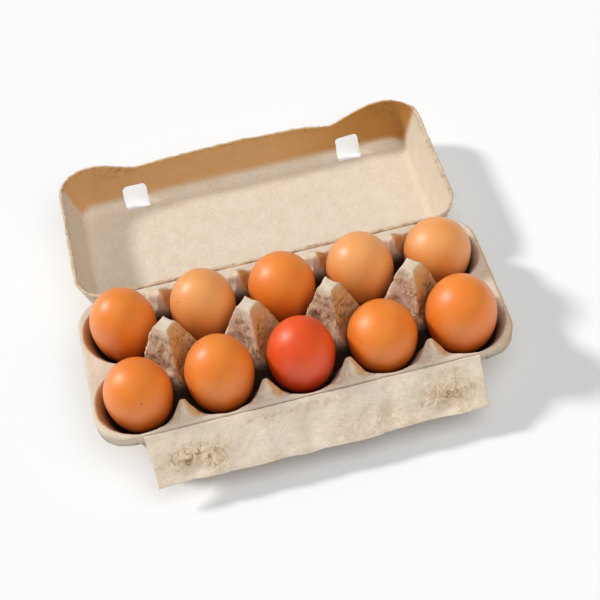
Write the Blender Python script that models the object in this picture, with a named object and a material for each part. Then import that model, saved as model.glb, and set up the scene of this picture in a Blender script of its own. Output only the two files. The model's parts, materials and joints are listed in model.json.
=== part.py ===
"""Moulded-pulp egg carton, standing open with ten eggs in it.  Metres, +Z up.

The tray stands on the floor.  Its lid is hinged along the back rim and lies
opened flat behind it, inside up.  A locking flap is hinged along the front rim
and hangs outwards.  Every egg rests in its own cup.
"""
import math

import bmesh
import bpy
from mathutils import Matrix, Vector

# Tray ----------------------------------------------------------------------
COLUMNS = 5
PITCH_X = 0.0485            # cup to cup along the carton
PITCH_Y = 0.0514            # front row to back row
TRAY_CENTRE_Y = -0.0445     # puts the open carton's box centre on the origin
RIM_Z = 0.0342              # top of the tray's rim
WALL = 0.0020               # thickness of the pulp
TRAY_HALF_X = 0.1243
TRAY_FRONT = 0.05165        # centre line to the front edge of the rim
TRAY_BACK = 0.05360         # centre line to the back edge of the rim
TRAY_CORNER = 0.0200
CUP_FLOOR_R = 0.0090
CUP_RIM_R = 0.0250
CUP_CURVE = 0.858           # below 1, so that the cup is widest near its rim
POST_TOP = 0.0640
POST_NUB_R = 0.0058           # blunt end of a post
POST_SLOPE = 2.4            # flanks of a post along its ridges
POST_FACE_SLOPE = 5.5       # its hollow faces towards the cups
HUMP_TOP = 0.0436           # dividers along the front and back rim
HUMP_Y = 0.0395             # inner end of a divider's crest
HUMP_CREST = 0.0030         # length of the crest, towards the rim
HUMP_SLOPE = 1.15
INNER_SLOPE = 4.5           # drop from dividers, rim and ledges into the tray
RIM_BAND = 0.0060
EDGE_BAND = 0.0007          # outermost strip, which nothing rises from
LEDGE_X = 0.1050            # tip of the triangular ledge at each end
SADDLE_Z = 0.0110           # lowest point of the ridge between two cups
# Grid lines, from a cup's centre: along the carton, past the end cups, and to the rim.
CUP_X_LINES = (0.0, 0.0052, 0.0118, 0.0166, 0.0205)
END_X_LINES = (0.0052, 0.0118, 0.0172, 0.0215, 0.0250)
INNER_Y_LINES = (0.0038, 0.0092, 0.0142, 0.0205)    # from the tray's centre line
OUTER_Y_LINES = (0.0309, 0.0350, HUMP_Y, 0.0425, 0.0465, 0.0502)

# Lid -----------------------------------------------------------------------
HINGE_Y = 0.0552            # from the tray's centre line
HINGE_RISE = 0.0002         # hinge line above the rim
HINGE_HALF_X = 0.1000
LID_HALF_X = 0.1221
LID_DEPTH = 0.1118          # hinge line to the lid's front rim
LID_HEIGHT = 0.0340
LID_FRONT_CORNER = 0.0210
LID_BACK_CORNER = 0.0195
LID_LEAST_CORNER = 0.0040
LID_DRAFT = math.radians(15.0)
LID_FILLET = 0.0080
LID_LEVELS = (0.0, 0.009, 0.018)        # from the rim up the straight part of the wall
WINDOW_X = 0.0740           # centre of each lock window
WINDOW_HALF = 0.0080
WINDOW_SILL = 0.0190        # lid rim to the window's near edge
WINDOW_REACH = 0.0161       # how far it runs back into the panel

# Flap ----------------------------------------------------------------------
FLAP_HINGE_Y = 0.0530       # from the tray's centre line, towards the front
FLAP_HINGE_DROP = 0.0010    # hinge line under the rim's top
FLAP_LENGTH = 0.0298
FLAP_HALF_X = 0.0988
FLAP_TIP_HALF_X = 0.0970
FLAP_OPEN_ANGLE = math.radians(125.0)   # tip direction, turned out from straight up
BUTTON_HALF_X = 0.0068
BUTTON_NEAR = 0.0205
BUTTON_FAR = 0.0292
BUTTON_RISE = 0.0032
BUTTON_TAPER = 0.0024

# Eggs ----------------------------------------------------------------------
EGG_EQUATOR_Z = 0.0393      # widest level of a typical egg
EGG_TAIL = 0.0315           # widest level down to the narrow end
EGG_SIDES = 18
EGG_RINGS = 10
# One entry an egg: shift x, shift y, shift z, radius, widest level up to the blunt end.
BACK_EGGS = (
    (0.0, 0.0, 0.0008, 0.0197, 0.0245),
    (0.0, 0.0, 0.0008, 0.0197, 0.0242),
    (0.0, 0.0, 0.0, 0.0203, 0.0230),
    (0.0, 0.0, 0.0, 0.0204, 0.0240),
    (0.0002, -0.0003, -0.0002, 0.0203, 0.0205),
)
FRONT_EGGS = (
    (0.0004, 0.0, 0.0, 0.0197, 0.0225),
    (-0.0002, 0.0004, 0.0006, 0.0201, 0.0248),
    (-0.0004, 0.0, 0.0005, 0.0199, 0.0245),
    (-0.0004, -0.0003, -0.0002, 0.0205, 0.0210),
    (-0.0009, 0.0005, 0.0017, 0.0209, 0.0243),
)


def clear_scene():
    for old in list(bpy.data.objects):
        bpy.data.objects.remove(old, do_unlink=True)


def material(name, colour, roughness):
    mat = bpy.data.materials.new(name)
    mat.use_nodes = True
    shader = mat.node_tree.nodes["Principled BSDF"]
    shader.inputs["Base Color"].default_value = (*colour, 1.0)
    shader.inputs["Roughness"].default_value = roughness
    shader.inputs["Metallic"].default_value = 0.0
    return mat


def add_object(name, bm, mat, location=(0.0, 0.0, 0.0)):
    """Close a bmesh into an object, with every face pointing out."""
    bmesh.ops.recalc_face_normals(bm, faces=bm.faces)
    mesh = bpy.data.meshes.new(name)
    bm.to_mesh(mesh)
    bm.free()
    mesh.materials.append(mat)
    mesh.shade_smooth()
    mesh.set_sharp_from_angle(angle=math.radians(40.0))
    obj = bpy.data.objects.new(name, mesh)
    obj.location = location
    bpy.context.collection.objects.link(obj)
    return obj


# Tray: a thin shell under one height function --------------------------------
def column_x(column):
    return (column - (COLUMNS - 1) / 2) * PITCH_X


def nearest_cup(x, y):
    column = round(x / PITCH_X + (COLUMNS - 1) / 2)
    column = min(max(column, 0), COLUMNS - 1)
    return column_x(column), math.copysign(PITCH_Y / 2, y)


def nearest_gap_x(x):
    """The line between two columns that lies nearest to x."""
    gap = round(x / PITCH_X + (COLUMNS - 2) / 2)
    gap = min(max(gap, 0), COLUMNS - 2)
    return (gap - (COLUMNS - 2) / 2) * PITCH_X


def tray_half_x(y):
    """Half the rim's length at this y: straight, then round at the corners."""
    edge = TRAY_BACK if y > 0.0 else TRAY_FRONT
    into_corner = abs(y) - (edge - TRAY_CORNER)
    if into_corner <= 0.0:
        return TRAY_HALF_X
    across = math.sqrt(max(TRAY_CORNER ** 2 - into_corner ** 2, 0.0))
    return TRAY_HALF_X - TRAY_CORNER + across


def rim_distance(x, y):
    edge = TRAY_BACK if y > 0.0 else TRAY_FRONT
    to_side = TRAY_HALF_X - abs(x)
    to_edge = edge - abs(y)
    if to_side < TRAY_CORNER and to_edge < TRAY_CORNER:
        return TRAY_CORNER - math.hypot(TRAY_CORNER - to_side, TRAY_CORNER - to_edge)
    return min(to_side, to_edge)


def cup_height(radius):
    """Height of the cup's wall at a radius, carried on above the rim as a post's face."""
    if radius <= CUP_FLOOR_R:
        return WALL
    if radius <= CUP_RIM_R:
        part = (radius - CUP_FLOOR_R) / (CUP_RIM_R - CUP_FLOOR_R)
        return WALL + (RIM_Z - WALL) * part ** CUP_CURVE
    return RIM_Z + (radius - CUP_RIM_R) * POST_FACE_SLOPE


def divider_height(x, y):
    """Highest of the post, the rim hump, the rim, the ledge and the saddle at (x, y)."""
    gap = abs(x - nearest_gap_x(x))
    to_post = math.hypot(gap, y)
    post = POST_TOP - max(0.0, to_post - POST_NUB_R) * POST_SLOPE
    outward = abs(y) - HUMP_Y
    off_crest = math.hypot(gap, max(0.0, outward - HUMP_CREST))
    hump = HUMP_TOP - max(off_crest * HUMP_SLOPE, -outward * INNER_SLOPE)
    rim = RIM_Z - max(0.0, rim_distance(x, y) - RIM_BAND) * INNER_SLOPE
    ledge = RIM_Z - max(0.0, LEDGE_X - abs(x)) * INNER_SLOPE
    return max(post, hump, rim, ledge, SADDLE_Z)


def tray_top(x, y):
    cup_x, cup_y = nearest_cup(x, y)
    radius = math.hypot(x - cup_x, y - cup_y)
    height = min(cup_height(radius), divider_height(x, y))
    if rim_distance(x, y) < EDGE_BAND:
        height = min(height, RIM_Z)
    return max(WALL, height)


def tray_bottom(x, y):
    """Underside: the top lowered by a ball of the wall's thickness, flat on the floor."""
    lowest = tray_top(x, y) - WALL
    for part in (0.6, 0.95):
        reach = WALL * part
        drop = WALL * math.sqrt(1.0 - part ** 2)
        for step in range(8):
            angle = step * math.pi / 4
            px = x + reach * math.cos(angle)
            py = y + reach * math.sin(angle)
            lowest = min(lowest, tray_top(px, py) - drop)
    return max(0.0, lowest)


def mirrored(values):
    return sorted({-v for v in values} | set(values))


def tray_x_lines():
    end = column_x(COLUMNS - 1)
    lines = set()
    for column in range(COLUMNS):
        for offset in mirrored(CUP_X_LINES):
            x = column_x(column) + offset
            if abs(x) <= end:
                lines.add(round(x, 6))
        if column < COLUMNS - 1:
            lines.add(round(column_x(column) + PITCH_X / 2, 6))
    for offset in END_X_LINES + (TRAY_HALF_X - end,):
        lines |= {round(end + offset, 6), round(-end - offset, 6)}
    return sorted(lines)


def tray_y_lines():
    lines = {0.0}
    for sign, edge in ((-1.0, TRAY_FRONT), (1.0, TRAY_BACK)):
        for y in INNER_Y_LINES + (PITCH_Y / 2,) + OUTER_Y_LINES + (edge,):
            lines.add(round(sign * y, 6))
    return sorted(lines)


def fit_to_outline(x, y):
    """Draw the ends of a grid line in, so that the grid ends on the rounded outline."""
    end = column_x(COLUMNS - 1)
    if abs(x) <= end:
        return x
    part = (abs(x) - end) / (TRAY_HALF_X - end)
    return math.copysign(end + part * (tray_half_x(y) - end), x)


def shell_from_grid(rows, top, bottom):
    """One closed shell: the same triangles above and below, and a strip round the edge."""
    bm = bmesh.new()
    upper = [[bm.verts.new((x, y, top(x, y))) for x, y in row] for row in rows]
    lower = [[bm.verts.new((x, y, bottom(x, y))) for x, y in row] for row in rows]
    last_row = len(rows) - 1
    last = len(rows[0]) - 1
    for j in range(last_row):
        for i in range(last):
            a, b, c, d = (j, i), (j, i + 1), (j + 1, i + 1), (j + 1, i)
            rising = abs(upper[j][i].co.z - upper[j + 1][i + 1].co.z)
            falling = abs(upper[j][i + 1].co.z - upper[j + 1][i].co.z)
            halves = ((a, b, c), (a, c, d)) if rising < falling else ((a, b, d), (b, c, d))
            for half in halves:
                bm.faces.new([upper[r][k] for r, k in half])
                bm.faces.new([lower[r][k] for r, k in reversed(half)])
    loop = [(0, i) for i in range(last)]
    loop += [(j, last) for j in range(last_row)]
    loop += [(last_row, i) for i in range(last, 0, -1)]
    loop += [(j, 0) for j in range(last_row, 0, -1)]
    for (r, k), (s, m) in zip(loop, loop[1:] + loop[:1]):
        bm.faces.new((lower[r][k], lower[s][m], upper[s][m], upper[r][k]))
    return bm


def build_tray(mat):
    rows = [[(fit_to_outline(x, y), y) for x in tray_x_lines()] for y in tray_y_lines()]
    bm = shell_from_grid(rows, tray_top, tray_bottom)
    return add_object("tray", bm, mat, (0.0, TRAY_CENTRE_Y, 0.0))


# Eggs ------------------------------------------------------------------------
def build_egg(name, mat, centre, radius, crown):
    """A turned egg: a flatter blunt end above its widest level, a longer end below."""
    bm = bmesh.new()
    rings = []
    for k in range(1, EGG_RINGS):
        latitude = math.pi * (k / EGG_RINGS - 0.5)
        reach = crown if latitude > 0.0 else EGG_TAIL
        ring_r = radius * math.cos(latitude)
        ring_z = reach * math.sin(latitude)
        ring = []
        for step in range(EGG_SIDES):
            angle = 2 * math.pi * step / EGG_SIDES
            ring.append(bm.verts.new((ring_r * math.cos(angle), ring_r * math.sin(angle), ring_z)))
        rings.append(ring)
    tip = bm.verts.new((0.0, 0.0, -EGG_TAIL))
    crest = bm.verts.new((0.0, 0.0, crown))
    for k in range(EGG_SIDES):
        n = (k + 1) % EGG_SIDES
        bm.faces.new((tip, rings[0][n], rings[0][k]))
        bm.faces.new((crest, rings[-1][k], rings[-1][n]))
        for below, above in zip(rings, rings[1:]):
            bm.faces.new((below[k], below[n], above[n], above[k]))
    return add_object(name, bm, mat, centre)


def build_eggs(mat):
    for row, (side, eggs) in enumerate(((-1.0, FRONT_EGGS), (1.0, BACK_EGGS))):
        for column, (dx, dy, dz, radius, crown) in enumerate(eggs):
            centre = (
                column_x(column) + dx,
                TRAY_CENTRE_Y + side * PITCH_Y / 2 + dy,
                EGG_EQUATOR_Z + dz,
            )
            build_egg(f"egg_{row * COLUMNS + column + 1}", mat, centre, radius, crown)


# Lid, described closed: s runs forward from the hinge, h up from the lid's rim -
def rim_cut(x):
    """How far the front rim is cut up: level at the corners, deepest under the windows."""
    stops = ((0.0, 0.0038), (0.0400, 0.0050), (0.0660, 0.0072), (0.0820, 0.0030), (0.0920, 0.0))
    x = abs(x)
    for (x0, c0), (x1, c1) in zip(stops, stops[1:]):
        if x <= x1:
            part = (x - x0) / (x1 - x0)
            return c0 + (c1 - c0) * part
    return 0.0


def corner_arc(centre_x, centre_s, radius, start, steps):
    points = []
    for k in range(steps + 1):
        angle = start + (math.pi / 2) * k / steps
        points.append((centre_x + radius * math.cos(angle), centre_s + radius * math.sin(angle)))
    return points


def lid_outline(inset):
    """Rounded rectangle in (x, s), drawn in by inset; the count of points never changes."""
    half_x = LID_HALF_X - inset
    back = inset - WALL / 2
    front = LID_DEPTH - inset
    front_r = max(LID_FRONT_CORNER - inset, LID_LEAST_CORNER)
    back_r = max(LID_BACK_CORNER - inset, LID_LEAST_CORNER)
    front_side = front - front_r
    back_side = back + back_r
    window = (WINDOW_X - WINDOW_HALF, WINDOW_X + WINDOW_HALF)
    front_x = (0.092, window[1], window[0], 0.040, 0.0, -0.040, -window[0], -window[1], -0.092)
    back_x = (-0.098, -0.060, 0.0, 0.060, 0.098)
    side = [back_side + (front_side - back_side) * part for part in (0.35, 0.65)]
    points = corner_arc(half_x - front_r, front_side, front_r, 0.0, 6)
    points += [(x, front) for x in front_x]
    points += corner_arc(-half_x + front_r, front_side, front_r, math.pi / 2, 6)
    points += [(-half_x, s) for s in reversed(side)]
    points += corner_arc(-half_x + back_r, back_side, back_r, math.pi, 5)
    points += [(x, back) for x in back_x]
    points += corner_arc(half_x - back_r, back_side, back_r, 1.5 * math.pi, 5)
    points += [(half_x, s) for s in side]
    return points


def lid_profile(skin):
    """(inset, height) stations from the rim to the panel; skin 0 is outside, 1 inside."""
    slope = math.tan(LID_DRAFT)
    shift = skin * WALL / math.cos(LID_DRAFT)
    top = LID_HEIGHT - skin * WALL
    fillet = LID_FILLET - skin * WALL
    knee_h = top - fillet * (1.0 - math.sin(LID_DRAFT))
    knee_in = knee_h * slope + shift
    centre_in = knee_in + fillet * math.cos(LID_DRAFT)
    centre_h = top - fillet
    stations = [(h * slope + shift, h) for h in LID_LEVELS]
    for k in range(4):
        angle = math.pi - LID_DRAFT - (math.pi / 2 - LID_DRAFT) * k / 3
        stations.append((centre_in + fillet * math.cos(angle), centre_h + fillet * math.sin(angle)))
    return stations


def lid_rings(bm, skin):
    rings = []
    slope = math.tan(LID_DRAFT)
    for level, (inset, height) in enumerate(lid_profile(skin)):
        ring = []
        for x, s in lid_outline(inset):
            h = height
            if level == 0 and s > LID_DEPTH - 0.004:
                h = rim_cut(x)
                s -= h * slope
            if level == 0 and s < 0.004 and abs(x) <= HINGE_HALF_X:
                h = -2 * HINGE_RISE - WALL / 2
            ring.append(bm.verts.new((x, s, h)))
        rings.append(ring)
    return rings


def build_lid(mat):
    bm = bmesh.new()
    outer = lid_rings(bm, 0)
    inner = lid_rings(bm, 1)
    count = len(outer[0])
    for rings, flip in ((outer, False), (inner, True)):
        for below, above in zip(rings, rings[1:]):
            for k in range(count):
                n = (k + 1) % count
                face = [below[k], below[n], above[n], above[k]]
                bm.faces.new(face[::-1] if flip else face)
        bm.faces.new(rings[-1][::-1] if flip else rings[-1])
    for k in range(count):
        n = (k + 1) % count
        bm.faces.new((outer[0][n], outer[0][k], inner[0][k], inner[0][n]))
    # Opened: half a turn about the hinge line, which lies HINGE_RISE below the closed rim.
    turn = Matrix.Scale(-1.0, 3, Vector((0.0, 0.0, 1.0)))
    for vert in bm.verts:
        x, s, h = vert.co
        vert.co = turn @ Vector((x, s, h + HINGE_RISE))
    bmesh.ops.triangulate(bm, faces=[f for f in bm.faces if len(f.verts) == 4])
    hinge = (0.0, TRAY_CENTRE_Y + HINGE_Y, RIM_Z + HINGE_RISE)
    lid = add_object("lid", bm, mat, hinge)
    for index, side in enumerate((-1.0, 1.0)):
        cut_window(lid, index, side, mat)
    return lid


def cut_window(lid, index, side, mat):
    """A hole through the front wall, its round corner and the edge of the panel."""
    bm = bmesh.new()
    bmesh.ops.create_cube(bm, size=1.0)
    near = LID_DEPTH - WINDOW_REACH
    far = LID_DEPTH + 0.010
    low = -LID_HEIGHT - 0.010
    high = -WINDOW_SILL
    size = Vector((2 * WINDOW_HALF, far - near, high - low))
    centre = Vector((side * WINDOW_X, (near + far) / 2, (low + high) / 2))
    for vert in bm.verts:
        vert.co = Vector(a * b for a, b in zip(vert.co, size)) + centre
    upright = [e for e in bm.edges if abs(e.verts[0].co.y - e.verts[1].co.y) > 1e-6]
    bmesh.ops.bevel(bm, geom=upright, offset=0.0025, segments=2, profile=0.5, affect="EDGES")
    cutter = add_object(f"window_cutter_{index}", bm, mat, lid.location)
    cutter.hide_render = True
    cutter.display_type = "WIRE"
    boolean = lid.modifiers.new(f"window_{index}", "BOOLEAN")
    boolean.operation = "DIFFERENCE"
    boolean.solver = "EXACT"
    boolean.object = cutter


# Flap: u along the hinge, v from the hinge to the tip, w out of the outer face --
def ramp(value):
    value = min(max(value, 0.0), 1.0)
    return value * value * (3.0 - 2.0 * value)


def button_rise(u, v):
    across = BUTTON_HALF_X - abs(abs(u) - WINDOW_X)
    along = min(v - BUTTON_NEAR, BUTTON_FAR - v)
    return BUTTON_RISE * ramp(min(across, along) / BUTTON_TAPER)


def flap_lines():
    button = (0.0, BUTTON_TAPER / 2, BUTTON_TAPER)
    u_lines = {0.0, 0.020, 0.040, 0.060, 0.088, 1.0}
    u_lines |= {WINDOW_X - BUTTON_HALF_X + b for b in button}
    u_lines |= {WINDOW_X + BUTTON_HALF_X - b for b in button}
    v_lines = {0.0, 0.007, 0.014, FLAP_LENGTH}
    v_lines |= {BUTTON_NEAR + b for b in button}
    v_lines |= {BUTTON_FAR - b for b in button}
    return mirrored(u_lines), sorted(v_lines)


def build_flap(mat):
    """A thin plate with a hollow lock button near each end of its tip."""
    u_lines, v_lines = flap_lines()
    half = WALL / 2
    rows = []
    for v in v_lines:
        edge = FLAP_HALF_X + (FLAP_TIP_HALF_X - FLAP_HALF_X) * v / FLAP_LENGTH
        rows.append([(math.copysign(edge, u) if abs(u) > 0.5 else u, v) for u in u_lines])
    bm = shell_from_grid(
        rows,
        lambda u, v: half + button_rise(u, v),
        lambda u, v: -half + button_rise(u, v) * 0.95,
    )
    # Upright, the tip points up and w points to the front; then it turns about the hinge.
    upright = Matrix(((1.0, 0.0, 0.0), (0.0, 0.0, -1.0), (0.0, 1.0, 0.0)))
    turn = Matrix.Rotation(FLAP_OPEN_ANGLE, 3, "X") @ upright
    bmesh.ops.transform(bm, matrix=turn.to_4x4(), verts=bm.verts)
    hinge = (0.0, TRAY_CENTRE_Y - FLAP_HINGE_Y, RIM_Z - FLAP_HINGE_DROP)
    return add_object("flap", bm, mat, hinge)


def main():
    clear_scene()
    pulp = material("pulp", (0.56, 0.46, 0.34), 0.9)
    shell = material("eggshell", (0.72, 0.31, 0.13), 0.45)
    build_tray(pulp)
    build_eggs(shell)
    build_lid(pulp)
    build_flap(pulp)


main()
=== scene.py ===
"""Looks of the moulded-pulp egg carton and its ten eggs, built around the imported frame.

Metres, +Z up, in the frame's own place.  The tray, lid, flap and eggs are finer meshes that
stand for the CAD nodes of the same names and nearly the same shape.
"""

import json
import math

import bpy
import numpy as np
from mathutils import Matrix, Vector


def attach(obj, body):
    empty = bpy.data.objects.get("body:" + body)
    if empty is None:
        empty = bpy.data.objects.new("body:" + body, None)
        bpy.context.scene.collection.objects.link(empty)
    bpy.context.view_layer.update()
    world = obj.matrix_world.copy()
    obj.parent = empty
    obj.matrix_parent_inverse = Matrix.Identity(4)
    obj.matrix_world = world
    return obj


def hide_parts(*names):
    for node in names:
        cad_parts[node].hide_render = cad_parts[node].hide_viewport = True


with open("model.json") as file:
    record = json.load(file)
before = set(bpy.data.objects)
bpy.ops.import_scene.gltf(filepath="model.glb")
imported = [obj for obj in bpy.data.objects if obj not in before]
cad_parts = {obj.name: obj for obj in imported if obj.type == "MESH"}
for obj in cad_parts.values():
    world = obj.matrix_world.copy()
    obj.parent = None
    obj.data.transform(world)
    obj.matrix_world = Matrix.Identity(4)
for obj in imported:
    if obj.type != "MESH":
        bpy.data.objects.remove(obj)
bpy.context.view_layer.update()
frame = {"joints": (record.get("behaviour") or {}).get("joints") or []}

# Places that the frame gives ---------------------------------------------------
JOINTS = {joint["name"]: joint for joint in frame["joints"]}
LID_HINGE = Vector(JOINTS["lid_hinge"]["pos_m"])
FLAP_HINGE = Vector(JOINTS["flap_hinge"]["pos_m"])

# Carton sizes, the CAD part's or within a millimetre or two of them -----------------
COLUMNS = 5
PITCH_X = 0.0485
PITCH_Y = 0.0514
HINGE_Y = 0.0552
HINGE_RISE = 0.0002
TRAY_CENTRE_Y = LID_HINGE.y - HINGE_Y
RIM_Z = LID_HINGE.z - HINGE_RISE
WALL = 0.0020
TRAY_HALF_X = 0.1243
TRAY_FRONT = 0.0517
TRAY_BACK = 0.0541
TRAY_CORNER = 0.0200
CUP_FLOOR_R = 0.0090
CUP_RIM_R = 0.0250
CUP_CURVE = 0.858
POST_TOP = 0.0650
POST_NUB_R = 0.0068
POST_SLOPE = 2.9
POST_FACE_SLOPE = 7.0
HUMP_TOP = 0.0440
HUMP_Y = 0.0395
HUMP_CREST = 0.0030
HUMP_SLOPE = 1.15
INNER_SLOPE = 4.5
RIM_BAND = 0.0060
LEDGE_X = 0.1050
SADDLE_Z = 0.0110
POST_ROUND = 0.0070
HUMP_CAP = 0.0012
HUMP_ROUND = 0.0022
DIVIDER_JOIN = 0.0015
RIM_JOIN = 0.0012
SADDLE_JOIN = 0.0020
WALL_WOBBLE = 0.00055
WOBBLE_SIZE = 0.0130
FOOT_SOFTNESS = 0.0020
TOP_SOFTNESS = 0.0190
FLAT_RIM = 0.0030
EDGE_ROUND = 0.0009
EDGE_DROP = 0.0007
EDGE_LIFT = 0.0005
EDGE_BEND = 0.0022
EDGE_BEND_DROP = 0.0004
FOLD_HALF_X = 0.0975
ROLL_HALF_X = 0.1000
ROLL_HEIGHT = 0.0007

LID_HALF_X = 0.1221
LID_DEPTH = 0.1118
LID_HEIGHT = 0.0340
LID_FRONT_CORNER = 0.0210
LID_BACK_CORNER = 0.0200
LID_LEAST_CORNER = 0.0010
LID_DRAFT = math.radians(15.0)
LID_FILLET = 0.0080
HINGE_HALF_X = 0.1000
WINDOW_X = 0.0740
WINDOW_HALF = 0.0080
WINDOW_SILL = 0.0190
WINDOW_REACH = 0.0161
WINDOW_CORNER = 0.0030
WINDOW_FRAY = 0.00045
WINDOW_PAST = 0.0100
PANEL_SEAM = 0.0013
CUT_FADE = 0.0160
FRONT_BAND = 0.0160
FRONT_FADE = 0.0080
# The front rim's cut: places across, and how far up the rim is cut there.
RIM_CUT_X = (-0.0950, -0.0820, -0.0720, -0.0400, 0.0, 0.0400, 0.0610, 0.0660, 0.0800, 0.0940)
RIM_CUT_DEPTH = (0.0, 0.0035, 0.0068, 0.0052, 0.0044, 0.0060, 0.0088, 0.0088, 0.0036, 0.0)
RIM_CUT_BLUR = (-0.0024, -0.0012, 0.0, 0.0012, 0.0024)
# Worn patches low on the front wall: place across and reach.
LID_PATCHES = ((-0.084, 0.016), (0.101, 0.010))

FLAP_LENGTH = 0.0298
FLAP_HALF_X = 0.0988
FLAP_TIP_HALF_X = 0.0970
FLAP_OPEN_ANGLE = math.radians(125.0)
BUTTON_HALF_X = 0.0068
BUTTON_NEAR = 0.0205
BUTTON_FAR = 0.0292
BUTTON_RISE = 0.0032
BUTTON_TAPER = 0.0024
HOLLOW_REACH_U = 0.0056
HOLLOW_REACH_V = 0.0042
HOLLOW_DEPTH = 0.0022
TIP_THINNING = 0.35
TIP_BAND = 0.0022
TIP_WAVE = 0.0008
SIDE_WAVE = 0.0004
FLAP_SHRINK = 0.00022
POCKET_V = 0.0180
POCKET_REACH_V = 0.0075
POCKET_REACH_LEFT = 0.016
POCKET_REACH_RIGHT = 0.014

EGG_EQUATOR_Z = 0.0393
EGG_TAIL = 0.0315
EGG_UNEVEN = 0.006
# One entry an egg: shift x, y and z, radius, widest level up to the blunt end, lean in degrees.
FRONT_EGGS = (
    (0.0004, 0.0, 0.0, 0.0197, 0.0225, (2, -1)),
    (-0.0002, 0.0004, 0.0006, 0.0201, 0.0248, (-2, 1)),
    (-0.0004, 0.0, 0.0005, 0.0199, 0.0245, (1, 2)),
    (-0.0004, -0.0003, -0.0002, 0.0205, 0.0210, (4, -2)),
    (-0.0009, 0.0005, 0.0017, 0.0209, 0.0243, (-2, 2)),
)
BACK_EGGS = (
    (0.0, 0.0, 0.0008, 0.0197, 0.0245, (1, -2)),
    (0.0, 0.0, 0.0008, 0.0197, 0.0242, (-1, 2)),
    (0.0, 0.0, 0.0, 0.0203, 0.0230, (2, 1)),
    (0.0, 0.0, 0.0, 0.0204, 0.0240, (-1, -1)),
    (0.0002, -0.0003, -0.0002, 0.0203, 0.0205, (3, 1)),
)

# Fineness of the meshes ------------------------------------------------------------
UNDER_RATIO = 3
GRADING_SAMPLES = 6000
POST_CELL_X = 0.00036
POST_CELL_Y = 0.00038
CELL_GROWTH = 0.0005
CELL_FADE = 0.004
POST_REACH_X = 0.0115
POST_REACH_Y = 0.0120
HUMP_BAND_Y = 0.0430
HUMP_BAND = 0.013
PROBE_REACHES = (0.5, 0.85, 0.97)
PROBE_TURNS = 10
FLAP_CELL = 0.00062
LID_RING_POINTS = 620
LID_WALL_LEVELS = 26
LID_FILLET_LEVELS = 9
LID_PANEL_LEVELS = 34
RIM_ROUND = 0.0007
ROOT_RISE = 0.0008
EGG_SIDES = 96
EGG_RINGS = 64
LID_CORNER_POINTS = 34
LONG_SIDE_SHARE = 0.35
WINDOW_SIDE_POINTS = 26
WINDOW_CORNER_STEPS = 8

# Pulp surface -------------------------------------------------------------------
LUMP_SIZE = 0.0055
LUMP_HEIGHT = 0.00016
GRAIN_SIZE = 0.0017
GRAIN_HEIGHT = 0.00008
CRAG_SIZE = 0.0046
CRAG_HEIGHT = 0.00055
FOLD_SIZE = 0.0070
FOLD_HEIGHT = 0.00045
CRACK_SIZE = 0.0050
CRACK_DEPTH = 0.00060
CRACK_BEND = 0.45
CRACK_REACH = 1.3
CRACK_WIDTH = 0.11
GROUND_BAND = 0.0004
# Painted shade deep in the cups: it begins below this height and is full one fade lower.
DEEP_SHADE_FROM_Z = 0.0349
DEEP_SHADE_FADE = 0.0110

# Colours, as linear red, green and blue --------------------------------------------
PULP_LIGHT = (0.80, 0.69, 0.56)
PULP_MID = (0.75, 0.63, 0.49)
PULP_BROWN = (0.45, 0.27, 0.12)
# Painted shade in the cracks.
PULP_CRACK_SHADE = (0.17, 0.08, 0.03)
PULP_FLECK = (0.42, 0.30, 0.18)
# Painted shade: dark deep in the cups.
PULP_DEEP_SHADE = (0.030, 0.013, 0.005)
# Painted shade, warm: on tray walls facing away from the key lamp and inside the lid's front wall.
PULP_WARM_SHADE = (0.66, 0.31, 0.065)
# Painted shade, darker, inside the lid's front wall towards its right end.
PULP_DUSK_SHADE = (0.34, 0.13, 0.015)
PULP_TAN = (0.78, 0.54, 0.29)
TAN_SHARE = 0.45
STAIN_SHARE = 0.50
# How much of each painted shade tint is laid on: warm, dusky, deep and in the cracks.
WARM_SHADE_SHARE = 0.88
DUSK_SHADE_SHARE = 0.60
DEEP_SHADE_SHARE = 0.96
CRACK_SHADE_SHARE = 0.62
# The flap's pulp is made lighter: partly its own paler smooth side, partly painted light.
FLAP_TONE_AND_PAINTED_LIGHT = 1.08
# Each shell: its colour and the deeper colour of its clouds.
SHELL_TAN = ((0.93, 0.270, 0.026), (0.88, 0.200, 0.010))
SHELL_PALE = ((0.93, 0.400, 0.120), (0.90, 0.320, 0.070))
SHELL_DARK = ((0.90, 0.092, 0.0), (0.76, 0.050, 0.0))
SHELL_SPECKLE = (0.16, 0.05, 0.02)
# Painted shade on the eggs: how much of each shell colour is left low down, where little light gets
# into the cup.
SHELL_LOW_SHADE = (0.74, 0.50, 0.20)
SHELL_LOW_SHADE_SHARE = 0.85
FLOOR_GREY = (0.93, 0.93, 0.93, 1.0)

# Stage, light and camera ---------------------------------------------------------
FLOOR_HALF = 12.0
FLOOR_DROP = 0.0002
SKY_STRENGTH = 0.22
# One entry a lamp: name, strength, spread in degrees, direction, whether it glints.
LAMPS = (
    ("key", 2.05, 9.0, (-0.70, 0.40, 0.59), True),
    ("top", 1.5, 70.0, (0.22, -0.38, 0.90), False),
)
CAMERA_AZIMUTH = math.radians(-7.75)
CAMERA_ELEVATION = math.radians(51.6)
CAMERA_ROLL = math.radians(-7.38)
CAMERA_DISTANCE = 0.7914
CAMERA_LENS = 79.8
CAMERA_TARGET = Vector((0.0081, TRAY_CENTRE_Y + 0.0124, RIM_Z + 0.0051))


# Numbers -----------------------------------------------------------------------
def smooth_min(a, b, width):
    """The smaller of two values, blended where they are within width of each other."""
    part = np.clip(0.5 + 0.5 * (b - a) / width, 0.0, 1.0)
    return b + (a - b) * part - width * part * (1.0 - part)


def smooth_max(a, b, width):
    return -smooth_min(-a, -b, width)


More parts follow.
